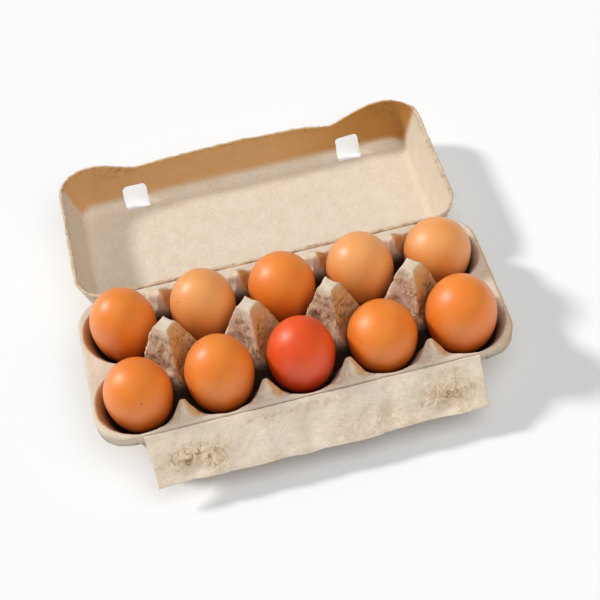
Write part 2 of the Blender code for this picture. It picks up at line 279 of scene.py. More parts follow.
def ramp(value):
    """0 below 0, 1 above 1, and a soft step between."""
    value = np.clip(value, 0.0, 1.0)
    return value * value * (3.0 - 2.0 * value)


def lattice(ix, iy, iz, seed):
    """A repeatable random number from -1 to 1 at each whole-numbered point."""
    key = ix * 374761393 + iy * 668265263 + iz * 2147483647 + seed * 1274126177
    key = (key ^ (key >> 13)) * 1274126177
    key = key ^ (key >> 16)
    return (key & 0xFFFFF) / 524287.5 - 1.0


def noise(points, size, seed):
    """Smooth noise from -1 to 1 with lumps about this size, at an array of points."""
    scaled = points / size + 1000.0
    base = np.floor(scaled).astype(np.int64)
    part = scaled - base
    part = part * part * (3.0 - 2.0 * part)
    total = 0.0
    for dx in (0, 1):
        wx = part[..., 0] if dx else 1.0 - part[..., 0]
        for dy in (0, 1):
            wy = part[..., 1] if dy else 1.0 - part[..., 1]
            for dz in (0, 1):
                wz = part[..., 2] if dz else 1.0 - part[..., 2]
                corner = lattice(base[..., 0] + dx, base[..., 1] + dy, base[..., 2] + dz, seed)
                total = total + wx * wy * wz * corner
    return total


def layered(points, size, seed, layers=3):
    """Noise with finer and weaker layers on top."""
    total = 0.0
    for k in range(layers):
        total = total + noise(points, size / 2 ** k, seed + 17 * k) / 2 ** k
    return total


def cracks(points, size, seed):
    """1 along thin branching lines, 0 between them."""
    warp = np.stack([noise(points, size, seed + k) for k in (1, 2, 3)], axis=-1)
    bent = points + warp * size * CRACK_BEND
    line = np.abs(layered(bent, size * CRACK_REACH, seed + 9, 2))
    return ramp(1.0 - line / CRACK_WIDTH)


# Meshes ------------------------------------------------------------------------
def vertex_normals(mesh):
    out = np.zeros(len(mesh.vertices) * 3, np.float32)
    mesh.vertex_normals.foreach_get("vector", out)
    return out.reshape(-1, 3).astype(float)


def vertex_places(mesh):
    out = np.zeros(len(mesh.vertices) * 3, np.float32)
    mesh.vertices.foreach_get("co", out)
    return out.reshape(-1, 3).astype(float)


def set_places(mesh, places):
    mesh.vertices.foreach_set("co", places.astype(np.float32).ravel())
    mesh.update()


def set_attribute(mesh, name, values):
    layer = mesh.attributes.new(name, "FLOAT", "POINT")
    layer.data.foreach_set("value", np.asarray(values, np.float32))


def make_object(name, points, faces, mat):
    mesh = bpy.data.meshes.new(name)
    mesh.from_pydata(np.asarray(points).tolist(), [], [list(face) for face in faces])
    mesh.update()
    mesh.shade_smooth()
    mesh.materials.append(mat)
    obj = bpy.data.objects.new(name, mesh)
    bpy.context.scene.collection.objects.link(obj)
    return obj


def grid_faces(rows, columns, first=0):
    """Quads of a grid of points numbered row by row."""
    j, i = np.meshgrid(np.arange(rows - 1), np.arange(columns - 1), indexing="ij")
    a = first + j * columns + i
    return np.stack([a, a + 1, a + columns + 1, a + columns], axis=-1).reshape(-1, 4)


def ring_faces(levels, count):
    """Quads between rings of count points, numbered ring by ring."""
    level, k = np.meshgrid(np.arange(levels - 1), np.arange(count), indexing="ij")
    a = level * count + k
    b = level * count + (k + 1) % count
    return np.stack([a, b, b + count, a + count], axis=-1).reshape(-1, 4)


def closed_sheet(upper, lower):
    """Points and quads of a sheet with an upper and a lower side, closed round its edge."""
    rows, columns = upper.shape[:2]
    count = rows * columns
    points = np.concatenate([upper.reshape(-1, 3), lower.reshape(-1, 3)])
    number = np.arange(count).reshape(rows, columns)
    loop = np.concatenate([number[0, :-1], number[:-1, -1], number[-1, :0:-1], number[:0:-1, 0]])
    after = np.roll(loop, -1)
    edge = np.stack([loop + count, after + count, after, loop], axis=-1)
    faces = [grid_faces(rows, columns), grid_faces(rows, columns, count)[:, ::-1], edge]
    return points, np.concatenate(faces)


def two_part_sheet(upper, lower, ratio):
    """Like closed_sheet, with a lower side that has only every ratio-th grid line."""
    rows, columns = upper.shape[:2]
    low_rows, low_columns = lower.shape[:2]
    count = rows * columns
    points = np.concatenate([upper.reshape(-1, 3), lower.reshape(-1, 3)])
    number = np.arange(count).reshape(rows, columns)
    low = np.arange(low_rows * low_columns).reshape(low_rows, low_columns) + count
    faces = grid_faces(rows, columns).tolist()
    faces += grid_faces(low_rows, low_columns, count)[:, ::-1].tolist()
    loops = []
    for grid in (number, low):
        loop = np.concatenate([grid[0, :-1], grid[:-1, -1], grid[-1, :0:-1], grid[:0:-1, 0]])
        loops.append(loop.tolist())
    fine, coarse = loops
    for k in range(len(coarse)):
        span = [fine[(k * ratio + m) % len(fine)] for m in range(ratio, -1, -1)]
        faces.append([coarse[k], coarse[(k + 1) % len(coarse)]] + span)
    return points, faces


# Tray ----------------------------------------------------------------------------
def column_x(column):
    return (column - (COLUMNS - 1) / 2) * PITCH_X


def tray_edge(y):
    return np.where(y > 0.0, TRAY_BACK, TRAY_FRONT)


def tray_half_x(y):
    into_corner = np.clip(np.abs(y) - (tray_edge(y) - TRAY_CORNER), 0.0, TRAY_CORNER)
    return TRAY_HALF_X - TRAY_CORNER + np.sqrt(TRAY_CORNER ** 2 - into_corner ** 2)


def rim_distance(x, y):
    to_side = TRAY_HALF_X - np.abs(x)
    to_edge = tray_edge(y) - np.abs(y)
    round_part = TRAY_CORNER - np.hypot(TRAY_CORNER - to_side, TRAY_CORNER - to_edge)
    in_corner = (to_side < TRAY_CORNER) & (to_edge < TRAY_CORNER)
    return np.where(in_corner, round_part, np.minimum(to_side, to_edge))


def gap_distance(x):
    gap = np.clip(np.round(x / PITCH_X + (COLUMNS - 2) / 2), 0, COLUMNS - 2)
    return np.abs(x - (gap - (COLUMNS - 2) / 2) * PITCH_X)


def cup_height(x, y):
    column = np.clip(np.round(x / PITCH_X + (COLUMNS - 1) / 2), 0, COLUMNS - 1)
    cup_x = (column - (COLUMNS - 1) / 2) * PITCH_X
    radius = np.hypot(x - cup_x, np.abs(y) - PITCH_Y / 2)
    part = np.clip((radius - CUP_FLOOR_R) / (CUP_RIM_R - CUP_FLOOR_R), 0.0, 1.0)
    bowl = WALL + (RIM_Z - WALL) * part ** CUP_CURVE
    return bowl + np.maximum(radius - CUP_RIM_R, 0.0) * POST_FACE_SLOPE


def divider_height(x, y):
    """Height of the posts, humps, rim, end ledges and saddles between the cups."""
    gap = gap_distance(x)
    post = POST_TOP - np.maximum(np.hypot(gap, y) - POST_NUB_R, 0.0) * POST_SLOPE
    post = smooth_min(post, np.full_like(post, POST_TOP), POST_ROUND)
    hump_cap = np.full_like(gap, HUMP_TOP - HUMP_CAP)
    outward = np.abs(y) - HUMP_Y
    off_crest = np.hypot(gap, np.maximum(0.0, outward - HUMP_CREST))
    hump = HUMP_TOP - np.maximum(off_crest * HUMP_SLOPE, -outward * INNER_SLOPE)
    rim = RIM_Z - np.maximum(rim_distance(x, y) - RIM_BAND, 0.0) * INNER_SLOPE
    ledge = RIM_Z - np.maximum(LEDGE_X - np.abs(x), 0.0) * INNER_SLOPE
    hump = smooth_min(hump, hump_cap, HUMP_ROUND)
    height = smooth_max(post, hump, DIVIDER_JOIN)
    height = smooth_max(height, np.maximum(rim, ledge), RIM_JOIN)
    return smooth_max(height, np.full_like(height, SADDLE_Z), SADDLE_JOIN)


def front_roll(x, y, height, near_edge):
    """A low roll and a furrow along the front rim, where the flap is folded down."""
    roll = np.exp(-((near_edge - 0.0020) / 0.0016) ** 2)
    roll = roll - 0.8 * np.exp(-((near_edge - 0.0058) / 0.0022) ** 2)
    along = ramp((ROLL_HALF_X - np.abs(x)) / 0.006)
    return ROLL_HEIGHT * roll * (y < 0.0) * along * ramp((HUMP_TOP - height) / 0.006)


def tray_top(x, y):
    """The tray's upper side as a height, with softened edges and slightly uneven walls."""
    place = np.stack([x, y, np.zeros_like(x)], axis=-1)
    near_edge = rim_distance(x, y)
    inside = ramp(near_edge / 0.004)
    px = x + WALL_WOBBLE * layered(place, WOBBLE_SIZE, 3, 2) * inside
    py = y + WALL_WOBBLE * layered(place, WOBBLE_SIZE, 5, 2) * inside
    divider = divider_height(px, py)
    softness = FOOT_SOFTNESS + TOP_SOFTNESS * ramp((divider - RIM_Z - 0.004) / 0.026)
    height = smooth_min(cup_height(px, py), divider, softness)
    height = np.where(near_edge < FLAT_RIM, np.minimum(height, RIM_Z), height)
    height = height + front_roll(x, y, height, near_edge)
    beside_fold = ramp((np.abs(x) - FOLD_HALF_X) / 0.0015)
    free = np.maximum(beside_fold, ramp((TRAY_CORNER - np.abs(y)) / 0.002))
    rounding = np.maximum(EDGE_ROUND - near_edge, 0.0) / EDGE_ROUND
    bend = np.maximum(EDGE_BEND - near_edge, 0.0) / EDGE_BEND
    height = height - EDGE_DROP * rounding ** 2 * free - EDGE_BEND_DROP * bend ** 2
    return np.maximum(height, WALL)


def tray_bottom(x, y):
    """The underside, at least one wall below the upper side in every direction."""
    lowest = tray_top(x, y) - WALL
    for part in PROBE_REACHES:
        drop = WALL * math.sqrt(1.0 - part ** 2)
        for step in range(PROBE_TURNS):
            angle = step * math.pi / (PROBE_TURNS / 2)
            px = x + WALL * part * math.cos(angle)
            py = y + WALL * part * math.sin(angle)
            lowest = np.minimum(lowest, tray_top(px, py) - drop)
    rounding = np.maximum(EDGE_ROUND - rim_distance(x, y), 0.0) / EDGE_ROUND
    return np.maximum(lowest + EDGE_LIFT * rounding ** 2, 0.0)


def graded_lines(low, high, cell):
    """Grid lines from low to high; cell(at) gives the spacing wanted at each place."""
    at = np.linspace(low, high, GRADING_SAMPLES)
    count = np.cumsum(1.0 / cell(at)) * (high - low) / GRADING_SAMPLES
    steps = UNDER_RATIO * int(count[-1] / UNDER_RATIO)
    return np.interp(np.linspace(count[0], count[-1], steps + 1), count, at)


def tray_grid():
    """Grid places, closest together at the posts and humps, fitted to the round corners."""
    def cell_x(x):
        return POST_CELL_X + CELL_GROWTH * ramp((gap_distance(x) - POST_REACH_X) / CELL_FADE)

    def cell_y(y):
        off_post = ramp((np.abs(y) - POST_REACH_Y) / CELL_FADE)
        hump = ramp(1.0 - np.abs(np.abs(y) - HUMP_BAND_Y) / HUMP_BAND)
        return POST_CELL_Y + CELL_GROWTH * off_post * (1.0 - 0.75 * hump)

    y_lines = graded_lines(-TRAY_FRONT, TRAY_BACK, cell_y)
    x_lines = graded_lines(-TRAY_HALF_X, TRAY_HALF_X, cell_x)
    x, y = np.meshgrid(x_lines, y_lines)
    end = column_x(COLUMNS - 1)
    part = (np.abs(x) - end) / (TRAY_HALF_X - end)
    drawn_in = np.sign(x) * (end + part * (tray_half_x(y) - end))
    return np.where(np.abs(x) <= end, x, drawn_in), y


def tray_crag(places):
    """How craggy the pulp is: most on the posts' faces, little on humps and ledges."""
    off_middle = np.abs(places[:, 1] - TRAY_CENTRE_Y)
    over_rim = places[:, 2] - RIM_Z
    post = ramp((over_rim + 0.016) / 0.010) * ramp((0.027 - off_middle) / 0.004)
    post = post * ramp((column_x(COLUMNS - 1) - np.abs(places[:, 0])) / 0.004)
    post = post * (1.0 - 0.68 * ramp((places[:, 2] - POST_TOP + 0.0095) / 0.006))
    hump = 0.26 * ramp((over_rim + 0.001) / 0.003) * ramp((off_middle - 0.030) / 0.004)
    ledge = 0.10 * ramp((over_rim + 0.003) / 0.002)
    return np.maximum(np.maximum(post, hump), ledge)


def build_tray(mat):
    x, y = tray_grid()
    upper = np.stack([x, y, tray_top(x, y)], axis=-1)
    under_x = x[::UNDER_RATIO, ::UNDER_RATIO]
    under_y = y[::UNDER_RATIO, ::UNDER_RATIO]
    lower = np.stack([under_x, under_y, tray_bottom(under_x, under_y)], axis=-1)
    points, faces = two_part_sheet(upper, lower, UNDER_RATIO)
    points[:, 1] += TRAY_CENTRE_Y
    tray = make_object("pulp_tray", points, faces, mat)
    mesh = tray.data
    places = vertex_places(mesh)
    on_top = np.arange(len(places)) < x.size
    crag = tray_crag(places) * on_top
    crag = crag * ramp(0.75 + 0.9 * layered(places, 0.012, 41, 2))
    relief(mesh, places, vertex_normals(mesh), crag)
    return tray


def on_inside(normals):
    """1 where a surface faces up or level, 0 on an underside."""
    return ramp((normals[:, 2] + 0.10) / 0.10)


def relief(mesh, places, normals, crag, shift=0.0):
    """Pulp's lumps and grain along the normals, with deep crags where crag is near 1."""
    lumps = layered(places, LUMP_SIZE, 11, 3) * LUMP_HEIGHT
    grain = layered(places, GRAIN_SIZE, 23, 2) * GRAIN_HEIGHT
    rough = layered(places, CRAG_SIZE, 31, 3)
    folds = 1.0 - np.abs(layered(places, FOLD_SIZE, 33, 2)) * 2.0
    lines = cracks(places, CRACK_SIZE, 37)
    rocky = CRAG_HEIGHT * rough + FOLD_HEIGHT * folds - CRACK_DEPTH * lines
    step = shift + lumps + grain + crag * rocky
    step = np.where(places[:, 2] < GROUND_BAND, 0.0, step)
    set_places(mesh, places + normals * step[:, None])
    set_attribute(mesh, "crag", crag)
    set_attribute(mesh, "crack", crag * lines)
    paint_shade_tints(mesh, places, normals)


def paint_shade_tints(mesh, places, normals):
    """Painted shade: dark deep in the cups, warm on tray walls facing right, away from the key lamp,
    and warm and darker inside the lid's front wall.
    """
    s = places[:, 1] - LID_HINGE.y
    in_tray = (s < -0.0006) & (places[:, 1] > FLAP_HINGE.y + 0.0002)
    # Painted shade deep in the cups.
    depth = ramp((DEEP_SHADE_FROM_Z - places[:, 2]) / DEEP_SHADE_FADE)
    set_attribute(mesh, "deep", depth * in_tray * on_inside(normals))
    # Painted shade inside the lid's front wall: warm, and darker towards the right end.
    wall = ramp((s - LID_DEPTH + 0.0190) / 0.006) * ramp((places[:, 2] - 0.0045) / 0.006)
    inner_wall = wall * ramp(-normals[:, 1] / 0.4)
    warm_painted_shade = inner_wall * (0.86 + 0.14 * ramp(places[:, 0] / 0.090))
    # Painted shade on tray walls facing right, away from the key lamp: a warm tint standing for shade
    # and light bounced off the eggs.
    facing_right = in_tray * on_inside(normals) * ramp((normals[:, 0] - 0.05) / 0.75)
    set_attribute(mesh, "warm_painted_shade", np.maximum(warm_painted_shade, 0.92 * facing_right))
    set_attribute(mesh, "dusk_painted_shade", inner_wall * ramp((places[:, 0] - 0.020) / 0.085))


# Lid, described closed: s runs forward from the hinge, h up from the lid's rim ---------
def lid_loop(inset):
    """Evenly numbered points (x, s) round the rounded rectangle drawn in by inset."""
    half_x = LID_HALF_X - inset
    back = inset - WALL / 2
    front = LID_DEPTH - inset
    front_r = max(LID_FRONT_CORNER - inset, LID_LEAST_CORNER)
    back_r = max(LID_BACK_CORNER - inset, LID_LEAST_CORNER)
    corners = (
        (half_x - front_r, front - front_r, front_r, 0.0),
        (-half_x + front_r, front - front_r, front_r, math.pi / 2),
        (-half_x + back_r, back + back_r, back_r, math.pi),
        (half_x - back_r, back + back_r, back_r, 1.5 * math.pi),
    )
    long_points = (LID_RING_POINTS - 4 * LID_CORNER_POINTS) * LONG_SIDE_SHARE
    short_points = LID_RING_POINTS / 2 - 2 * LID_CORNER_POINTS - long_points
    counts = (int(long_points), int(short_points))
    points = []
    for k, (cx, cs, radius, start) in enumerate(corners):
        angles = start + np.linspace(0.0, math.pi / 2, LID_CORNER_POINTS, endpoint=False)
        points.append(np.stack([cx + radius * np.cos(angles), cs + radius * np.sin(angles)], -1))
        nx, ns, next_r, next_start = corners[(k + 1) % 4]
        end_angle = start + math.pi / 2
        leave = np.array([cx + radius * math.cos(end_angle), cs + radius * math.sin(end_angle)])
        reach = np.array([nx + next_r * math.cos(next_start), ns + next_r * math.sin(next_start)])
        share = np.linspace(0.0, 1.0, counts[k % 2], endpoint=False)[:, None]
        points.append(leave + (reach - leave) * share)
    return np.concatenate(points)


def rim_cut(x):
    """How far the front rim is cut up: level at the corners, deepest by the windows."""
    total = 0.0
    for shift in RIM_CUT_BLUR:
        total = total + np.interp(x + shift, RIM_CUT_X, RIM_CUT_DEPTH)
    return total / len(RIM_CUT_BLUR)


def lid_profile(skin):
    """(inset, height) stations from rim to the middle of the panel; skin 0 outside, 1 inside."""
    slope = math.tan(LID_DRAFT)
    shift = skin * WALL / math.cos(LID_DRAFT)
    top = LID_HEIGHT - skin * WALL
    fillet = LID_FILLET - skin * WALL
    knee_h = top - fillet * (1.0 - math.sin(LID_DRAFT))
    centre_in = knee_h * slope + shift + fillet * math.cos(LID_DRAFT)
    centre_h = top - fillet
    wall_h = np.linspace(0.0, knee_h, LID_WALL_LEVELS, endpoint=False)
    turn = np.linspace(math.pi - LID_DRAFT, math.pi / 2, LID_FILLET_LEVELS)
    middle = LID_DEPTH / 2 - PANEL_SEAM
    panel_in = np.linspace(centre_in, middle, LID_PANEL_LEVELS)[1:]
    inset = np.concatenate([wall_h * slope + shift, centre_in + fillet * np.cos(turn), panel_in])
    height = np.concatenate([wall_h, centre_h + fillet * np.sin(turn), np.full_like(panel_in, top)])
    return inset, height


def lid_side(skin):
    """Rings of (x, y, z) about the hinge line, with the lid laid open."""
    slope = math.tan(LID_DRAFT)
    rings = []
    for inset, height in zip(*lid_profile(skin)):
        loop = lid_loop(inset)
        x, s = loop[:, 0], loop[:, 1]
        fade = max(0.0, 1.0 - height / CUT_FADE)
        cut = rim_cut(x) * ramp((s - LID_DEPTH + FRONT_BAND) / FRONT_FADE) * fade
        root = ramp((0.0060 - s) / 0.0030) * ramp((HINGE_HALF_X + 0.004 - np.abs(x)) / 0.006)
        h = height + cut + (RIM_ROUND - ROOT_RISE * root) * fade
        rings.append(np.stack([x, s - cut * slope, -(h + HINGE_RISE)], axis=-1))
    return np.stack(rings)


def front_edge(places):
    """1 along the cut front rim of the lid, 0 away from it."""
    s = places[:, 1] - LID_HINGE.y
    rim_level = LID_HINGE.z - rim_cut(places[:, 0])
    near = ramp(1.0 - np.abs(places[:, 2] - rim_level) / 0.0035)
    return near * ramp((s - LID_DEPTH + FRONT_BAND) / FRONT_FADE)


def lid_faces(levels, count):
    """Quads of both sides, the rounded rim between them and the panel's middle."""
    ring = ring_faces(levels, count)
    base = levels * count
    k = np.arange(count)
    n = (k + 1) % count
    starts = (0, 2 * base, 2 * base + count, 2 * base + 2 * count, base)
    pairs = zip(starts, starts[1:])
    rim = np.concatenate([np.stack([n + a, k + a, k + b, n + b], axis=-1) for a, b in pairs])
    last = base - count
    m = np.arange(count // 2 - 1)
    ends = [last + m, last + m + 1, last + count - 2 - m, last + count - 1 - m]
    middle = np.stack(ends, axis=-1)
    faces = [ring[:, ::-1], ring + base, rim[:, ::-1], middle[:, ::-1], middle + base]
    return np.concatenate(faces)


def build_lid(mat):
    outer, inner = lid_side(0), lid_side(1)
    levels, count = outer.shape[:2]
    centre, half_wall = (outer[0] + inner[0]) / 2, (outer[0] - inner[0]) / 2
    caps = []
    for step in (1, 2, 3):
        turn = step * math.pi / 4
        lift = np.array([0.0, 0.0, RIM_ROUND * math.sin(turn)])
        caps.append(centre + half_wall * math.cos(turn) + lift)
    points = np.concatenate([outer.reshape(-1, 3), inner.reshape(-1, 3)] + caps)
    points = points + np.array(LID_HINGE)
    lid = make_object("pulp_lid", points, lid_faces(levels, count), mat)
    cut_windows(lid)
    mesh = lid.data
    places = vertex_places(mesh)
    below_rim = RIM_Z - places[:, 2]
    edge = ramp((0.0036 - below_rim) / 0.0030)
    crag = 0.55 * np.maximum(edge, front_edge(places))
    in_front = places[:, 1] > LID_HINGE.y + LID_DEPTH - 0.014
    for at_x, reach in LID_PATCHES:
        patch = np.exp(-((places[:, 0] - at_x) / reach) ** 2 - ((below_rim - 0.006) / 0.005) ** 2)
        crag = np.maximum(crag, 0.6 * patch * in_front)
    relief(mesh, places, vertex_normals(mesh), crag)
    return lid


def window_outline(side):
    """A window's ragged outline as (x, z), square at the bottom and round at the top."""
    high = LID_HINGE.z - WINDOW_SILL
    low = -WINDOW_PAST
    outline = []
    for level in np.linspace(low, high - WINDOW_CORNER, WINDOW_SIDE_POINTS):
        outline.append((WINDOW_HALF, level))
    for way, start in ((1, 0.0), (-1, math.pi / 2)):
        for step in range(1, WINDOW_CORNER_STEPS):
            angle = start + step * math.pi / (2 * WINDOW_CORNER_STEPS)
            x = way * (WINDOW_HALF - WINDOW_CORNER) + WINDOW_CORNER * math.cos(angle)
            outline.append((x, high - WINDOW_CORNER + WINDOW_CORNER * math.sin(angle)))
    for level in np.linspace(high - WINDOW_CORNER, low, WINDOW_SIDE_POINTS):
        outline.append((-WINDOW_HALF, level))
    outline = np.array(outline)
    ragged = np.column_stack([outline, np.full(len(outline), side)])
    for axis in (0, 1):
        outline[:, axis] += WINDOW_FRAY * layered(ragged, 0.005, 61 + axis, 2)
    outline[:, 0] += side * WINDOW_X
    return outline


def cut_windows(lid):
    """Both lock windows, through the front wall, its round corner and the panel's edge."""
    near = LID_HINGE.y + LID_DEPTH - WINDOW_REACH
    far = LID_HINGE.y + LID_DEPTH + WINDOW_PAST
    for side in (-1.0, 1.0):
        outline = window_outline(side)
        count = len(outline)
        points = np.array([(x, y, z) for y in (near, far) for x, z in outline])
        mesh = bpy.data.meshes.new("window_cutter")
        walls = [(k + count, (k + 1) % count + count, (k + 1) % count, k) for k in range(count)]
        ends = [tuple(range(count)), tuple(range(count, 2 * count))[::-1]]
        mesh.from_pydata(points.tolist(), [], walls + ends)
        cutter = bpy.data.objects.new("window_cutter", mesh)
        bpy.context.scene.collection.objects.link(cutter)
        boolean = lid.modifiers.new("window", "BOOLEAN")
        boolean.operation = "DIFFERENCE"
        boolean.solver = "EXACT"
        boolean.object = cutter
        bpy.context.view_layer.update()
        depsgraph = bpy.context.evaluated_depsgraph_get()
        cut = bpy.data.meshes.new_from_object(lid.evaluated_get(depsgraph))
        lid.modifiers.clear()
        lid.data = cut
        bpy.data.objects.remove(cutter)
    lid.data.shade_smooth()


# Flap: u along the hinge, v from the hinge to the tip, w out of the outer face ----------
def button_rise(u, v):
    across = BUTTON_HALF_X - np.abs(np.abs(u) - WINDOW_X)
    along = np.minimum(v - BUTTON_NEAR, BUTTON_FAR - v)
    return BUTTON_RISE * ramp(np.minimum(across, along) / BUTTON_TAPER)


def button_hollow(u, v):
    """The soft hollow behind each button, on the flap's inner face."""
    across = (np.abs(u) - WINDOW_X) / HOLLOW_REACH_U
    along = (v - (BUTTON_NEAR + BUTTON_FAR) / 2) / HOLLOW_REACH_V
    return HOLLOW_DEPTH * np.exp(-across ** 2 - along ** 2)


# Hollows pressed into the flap: place u and v, reach in u and v, depth (negative: a ridge).
FLAP_FOLDS = (
    (-WINDOW_X, 0.0205, 0.0150, 0.0080, 0.0009),
    (WINDOW_X, 0.0205, 0.0130, 0.0080, 0.0008),
    (-0.0065, 0.0200, 0.0050, 0.0110, 0.0019),
    (0.0410, 0.0190, 0.0045, 0.0100, 0.0019),
    (0.0255, 0.0190, 0.0075, 0.0065, 0.0005),
    (-0.0310, 0.0200, 0.0060, 0.0140, -0.0010),
    (0.0120, 0.0210, 0.0060, 0.0120, -0.0007),
)


def flap_dents(u, v):
    """Shallow uneven hollows of the inner face, and a wide soft one round each button."""
    place = np.stack([u, v * 1.4, np.zeros_like(u)], axis=-1)
    soft = 0.0006 * layered(place, 0.016, 71, 3)
    for at_u, at_v, reach_u, reach_v, depth in FLAP_FOLDS:
        soft = soft + depth * np.exp(-((u - at_u) / reach_u) ** 2 - ((v - at_v) / reach_v) ** 2)
    return soft


def flap_grid():
    """Places (u, v) over the flap, with a wavy tip and slightly uneven sides."""
    u_lines = np.linspace(-1.0, 1.0, int(2 * FLAP_HALF_X / FLAP_CELL))
    v_lines = np.linspace(0.0, FLAP_LENGTH, int(FLAP_LENGTH / FLAP_CELL))
    share, v = np.meshgrid(u_lines, v_lines)
    half_x = FLAP_HALF_X + (FLAP_TIP_HALF_X - FLAP_HALF_X) * v / FLAP_LENGTH
    place = np.stack([share * 0.1, v, np.zeros_like(v)], axis=-1)
    tip_wave = TIP_WAVE * layered(place * np.array([1.0, 0.0, 0.0]), 0.022, 83, 3)
    v = v + tip_wave * ramp(v / FLAP_LENGTH)
    side_wave = SIDE_WAVE * layered(place * np.array([0.0, 1.0, 0.0]), 0.008, 87, 2)
    u = share * half_x + np.sign(share) * side_wave * ramp((np.abs(share) - 0.9) / 0.1)
    return u, v


def flap_sides():
    """Both faces of the flap as (u, v, w), each starting with half of the round root."""
    u, v = flap_grid()
    half = WALL / 2
    thin = TIP_THINNING * ramp((v - FLAP_LENGTH + TIP_BAND) / TIP_BAND)
    dents = flap_dents(u, v) * ramp(v / 0.005)
    outer_w = half * (1.0 - thin) + button_rise(u, v) + 0.7 * dents
    inner_w = -half * (1.0 - thin) + button_hollow(u, v) + dents
    bend = np.linspace(-math.pi / 2, 0.0, 7)[:-1, None]
    root_u = np.tile(u[0], (len(bend), 1))
    root_v = np.broadcast_to(half * np.sin(bend), root_u.shape)
    root_w = np.broadcast_to(half * np.cos(bend), root_u.shape)
    outer_root = np.stack([root_u, root_v, root_w], -1)
    inner_root = outer_root * np.array([1.0, 1.0, -1.0])
    outer = np.concatenate([outer_root, np.stack([u, v, outer_w], -1)])
    inner = np.concatenate([inner_root, np.stack([u, v, inner_w], -1)])
    return outer, inner


def flap_crag(flat):
    """How craggy the flap is: most round the buttons, little in patches and by the fold."""
    u, v = flat[:, 0], flat[:, 1]
    off_button = np.abs(u) - WINDOW_X
    across = off_button / np.where(u < 0.0, POCKET_REACH_LEFT, POCKET_REACH_RIGHT)
    pocket = np.exp(-across ** 2 - ((v - POCKET_V) / POCKET_REACH_V) ** 2)
    smooth = np.exp(-(off_button / 0.006) ** 2 - ((v - 0.0235) / 0.004) ** 2)
    patches = ramp(0.10 + 0.9 * layered(flat, 0.020, 91, 2))
    crease = 0.35 * np.exp(-((v - 0.0045) / 0.0025) ** 2)
    crease = crease * ramp(0.3 + 1.5 * layered(flat, 0.016, 95, 2))
    crag = np.clip(pocket - 0.55 * smooth + 0.22 * patches + crease, 0.0, 1.0)
    return crag * ramp(v / 0.003)


def build_flap(mat):
    flat, faces = closed_sheet(*flap_sides())
    upright = Matrix(((1.0, 0.0, 0.0), (0.0, 0.0, -1.0), (0.0, 1.0, 0.0)))
    turn = np.array(Matrix.Rotation(FLAP_OPEN_ANGLE, 3, "X") @ upright)
    points = flat @ turn.T + np.array(FLAP_HINGE)
    flap = make_object("pulp_flap", points, faces, mat)
    mesh = flap.data
    relief(mesh, vertex_places(mesh), vertex_normals(mesh), flap_crag(flat), -FLAP_SHRINK)
    return flap


# Eggs ------------------------------------------------------------------------------
def build_egg(name, mat, centre, radius, crown, lean, seed):
    """A turned egg, blunt end up, slightly uneven and leaning."""
    latitude = np.linspace(-math.pi / 2, math.pi / 2, EGG_RINGS + 1)[1:-1]
    angle = np.linspace(0.0, 2 * math.pi, EGG_SIDES, endpoint=False)
    lat, ang = np.meshgrid(latitude, angle, indexing="ij")
    reach = np.where(lat > 0.0, crown, EGG_TAIL)
    ring_r = radius * np.cos(lat)
    body = np.stack([ring_r * np.cos(ang), ring_r * np.sin(ang), reach * np.sin(lat)], -1)
    ends = np.array([(0.0, 0.0, -EGG_TAIL), (0.0, 0.0, crown)])
    points = np.concatenate([body.reshape(-1, 3), ends])
    points = points * (1.0 + EGG_UNEVEN * noise(points, 0.020, seed)[:, None])
    lean_x, lean_y = (math.radians(part) for part in lean)
    tilt = Matrix.Rotation(lean_x, 3, "X") @ Matrix.Rotation(lean_y, 3, "Y")
    points = points @ np.array(tilt).T + np.array(centre)
    rings = EGG_RINGS - 1
    faces = ring_faces(rings, EGG_SIDES).tolist()
    tail, crest = rings * EGG_SIDES, rings * EGG_SIDES + 1
    top = (rings - 1) * EGG_SIDES
    for k in range(EGG_SIDES):
        n = (k + 1) % EGG_SIDES
        faces.append([tail, n, k])
        faces.append([crest, top + k, top + n])
    return make_object(name, points, faces, mat)


def build_eggs():
    """All ten eggs: numbers 1 to 5 in front from left to right, 6 to 10 behind them."""
    plain = egg_material("eggshell_brown", *SHELL_TAN, 0.02)
    pale = egg_material("eggshell_pale", *SHELL_PALE, 0.02)
    dotted = egg_material("eggshell_dotted", *SHELL_TAN, 0.16)
    dark = egg_material("eggshell_dark", *SHELL_DARK, 0.06)
    special = {3: dark, 5: dotted, 7: pale, 9: pale, 10: pale}
    for row, (side, eggs) in enumerate(((-1.0, FRONT_EGGS), (1.0, BACK_EGGS))):
        for column, (dx, dy, dz, radius, crown, lean) in enumerate(eggs):
            number = row * COLUMNS + column + 1
            centre = (
                column_x(column) + dx,
                TRAY_CENTRE_Y + side * PITCH_Y / 2 + dy,
                EGG_EQUATOR_Z + dz,
            )
            mat = special.get(number, plain)
            egg = build_egg(f"shell_egg_{number}", mat, centre, radius, crown, lean, number)
            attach(egg, "tray")
            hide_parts(f"egg_{number}")


